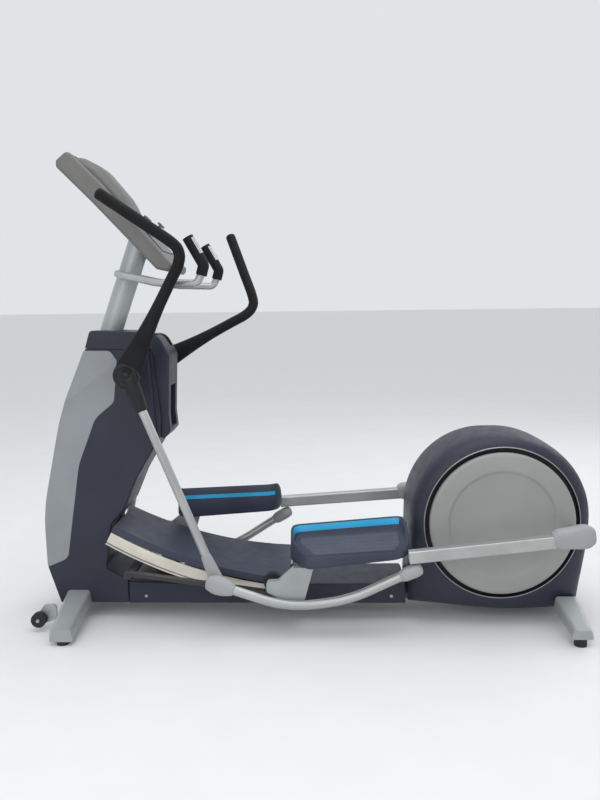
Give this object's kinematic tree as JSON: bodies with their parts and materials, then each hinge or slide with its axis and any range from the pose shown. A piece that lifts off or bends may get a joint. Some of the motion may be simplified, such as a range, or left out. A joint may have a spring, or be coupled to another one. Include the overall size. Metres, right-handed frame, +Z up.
{
  "type": "elliptical trainer",
  "caption": "Rear-drive elliptical trainer with a curved front ramp, sliding foot arms, swinging handlebars, a fixed handlebar and a tilted console.",
  "frame": {"origin": "centre of the bounding box at floor level", "axes": "+Z up; +X from the console end to the drive end; -Y is the user's left side"},
  "size_m": [2.0992, 0.7084, 1.7596],
  "materials": {
    "frame_paint": "semi-gloss black paint",
    "silver_paint": "satin silver paint",
    "satin_tube": "satin",
    "shroud_plastic": "fine grained dark slate blue",
    "panel_plastic": "satin silver grey",
    "disc_plastic": "fine grained warm grey",
    "joint_plastic": "speckled light grey",
    "pedal_plastic": "ribbed slate blue with a cyan trim",
    "ramp_plastic": "grained slate",
    "rail_cream": "satin off-white",
    "grip_foam": "closed cell foam",
    "rubber": "matt",
    "display": "smoked",
    "keypad_plastic": "satin",
    "sensor_chrome": "polished",
    "steel": "machined"
  },
  "bodies": {
    "root": {"accessory_tray": "shroud_plastic", "base_cover": "shroud_plastic", "base_frame": "frame_paint", "column_cap": "shroud_plastic", "column_panels": "panel_plastic", "column_post": "frame_paint", "column_shroud_left": "shroud_plastic", "column_shroud_right": "shroud_plastic", "console_display": "display", "console_housing": "panel_plastic", "console_keypad": "keypad_plastic", "cover_screws": "steel", "drive_belt": "rubber", "drive_housing_left": "shroud_plastic", "drive_housing_right": "shroud_plastic", "fixed_grips": "grip_foam", "fixed_handlebar": "satin_tube", "front_feet": "silver_paint", "generator_casing": "frame_paint", "handle_pivot_shaft": "steel", "levelling_pads": "rubber", "lift_actuator": "frame_paint", "mast": "silver_paint", "pulse_sensors": "sensor_chrome", "ramp_cover": "ramp_plastic", "ramp_members": "frame_paint", "ramp_rails": "rail_cream", "rear_feet": "silver_paint", "roller_track_left": "frame_paint", "roller_track_right": "frame_paint", "wheel_brackets": "silver_paint"},
    "crank": {"crank_axle": "steel", "crank_disc_left": "disc_plastic", "crank_disc_right": "disc_plastic", "crank_pulley": "steel"},
    "rotor": {"generator_rotor": "steel"},
    "left_arm": {"foot_arm_left": "satin_tube", "arm_end_cap_left": "joint_plastic", "roller_strut_left": "silver_paint", "pedal_left": "pedal_plastic"},
    "left_roller": {"ramp_roller_left": "rubber"},
    "left_handle": {"handlebar_left": "grip_foam", "lower_tube_left": "satin_tube"},
    "left_link": {"link_tube_left": "satin_tube", "link_covers_left": "joint_plastic"},
    "left_wheel": {"transport_wheel_left": "rubber"},
    "right_arm": {"foot_arm_right": "satin_tube", "arm_end_cap_right": "joint_plastic", "roller_strut_right": "silver_paint", "pedal_right": "pedal_plastic"},
    "right_roller": {"ramp_roller_right": "rubber"},
    "right_handle": {"handlebar_right": "grip_foam", "lower_tube_right": "satin_tube"},
    "right_link": {"link_tube_right": "satin_tube", "link_covers_right": "joint_plastic"},
    "right_wheel": {"transport_wheel_right": "rubber"},
    "resistance_switch": {"resistance_lever": "keypad_plastic"},
    "incline_switch": {"incline_lever": "keypad_plastic"}
  },
  "joints": [
    {"name": "crank_turn", "type": "hinge", "parent": "root", "child": "crank", "pos_m": [0.71036, 0, 0.396], "axis": [0, -1, 0], "range_deg": [0, 180]},
    {"name": "rotor_spin", "type": "hinge", "parent": "root", "child": "rotor", "pos_m": [0.45636, 0, 0.19], "axis": [0, -1, 0], "range_deg": [0, 1090]},
    {"name": "left_stride", "type": "hinge", "parent": "root", "child": "left_arm", "pos_m": [1.42263, 0, 13.13587], "axis": [0, 1, 0], "range_deg": [0, 2.21]},
    {"name": "right_stride", "type": "hinge", "parent": "root", "child": "right_arm", "pos_m": [1.42263, 0, 13.13587], "axis": [0, 1, 0], "range_deg": [-2.21, 0]},
    {"name": "left_roller_spin", "type": "hinge", "parent": "left_arm", "child": "left_roller", "pos_m": [-0.13964, -0.211, 0.19], "axis": [0, 1, 0], "range_deg": [-844.2, 0]},
    {"name": "right_roller_spin", "type": "hinge", "parent": "right_arm", "child": "right_roller", "pos_m": [-0.63545, 0.211, 0.25951], "axis": [0, 1, 0], "range_deg": [0, 844.2]},
    {"name": "left_swing", "type": "hinge", "parent": "root", "child": "left_handle", "pos_m": [-0.65164, -0.23, 0.964], "axis": [0, 1, 0], "range_deg": [0, 34.25]},
    {"name": "right_swing", "type": "hinge", "parent": "root", "child": "right_handle", "pos_m": [-0.65164, 0.23, 0.964], "axis": [0, 1, 0], "range_deg": [-34.25, 0]},
    {"name": "left_link_turn", "type": "hinge", "parent": "left_handle", "child": "left_link", "pos_m": [-0.34364, -0.27, 0.205], "axis": [0, 1, 0], "range_deg": [-41.49, 0]},
    {"name": "right_link_turn", "type": "hinge", "parent": "right_handle", "child": "right_link", "pos_m": [-0.8241, 0.27, 0.16325], "axis": [0, 1, 0], "range_deg": [0, 41.49]},
    {"name": "left_wheel_spin", "type": "hinge", "parent": "root", "child": "left_wheel", "pos_m": [-1.02164, -0.229, 0.046], "axis": [0, 1, 0], "continuous": true},
    {"name": "right_wheel_spin", "type": "hinge", "parent": "root", "child": "right_wheel", "pos_m": [-1.02164, 0.229, 0.046], "axis": [0, 1, 0], "continuous": true},
    {"name": "resistance_tilt", "type": "hinge", "parent": "root", "child": "resistance_switch", "pos_m": [-0.60298, -0.112, 1.5044], "axis": [0, 1, 0], "range_deg": [-10, 10], "stiffness_Nm_per_rad": 0.5},
    {"name": "incline_tilt", "type": "hinge", "parent": "root", "child": "incline_switch", "pos_m": [-0.60298, 0.112, 1.5044], "axis": [0, 1, 0], "range_deg": [-10, 10], "stiffness_Nm_per_rad": 0.5}
  ],
  "couplings": [
    {"joint": "rotor_spin", "follows": "crank_turn", "ratio": 6.04},
    {"joint": "left_stride", "follows": "crank_turn", "ratio": 0.012222},
    {"joint": "right_stride", "follows": "crank_turn", "ratio": -0.012222},
    {"joint": "left_roller_spin", "follows": "crank_turn", "ratio": -4.6872},
    {"joint": "right_roller_spin", "follows": "crank_turn", "ratio": 4.6872},
    {"joint": "left_swing", "follows": "crank_turn", "ratio": 0.19023},
    {"joint": "right_swing", "follows": "crank_turn", "ratio": -0.19023},
    {"joint": "left_link_turn", "follows": "crank_turn", "ratio": -0.23044},
    {"joint": "right_link_turn", "follows": "crank_turn", "ratio": 0.23044}
  ]
}
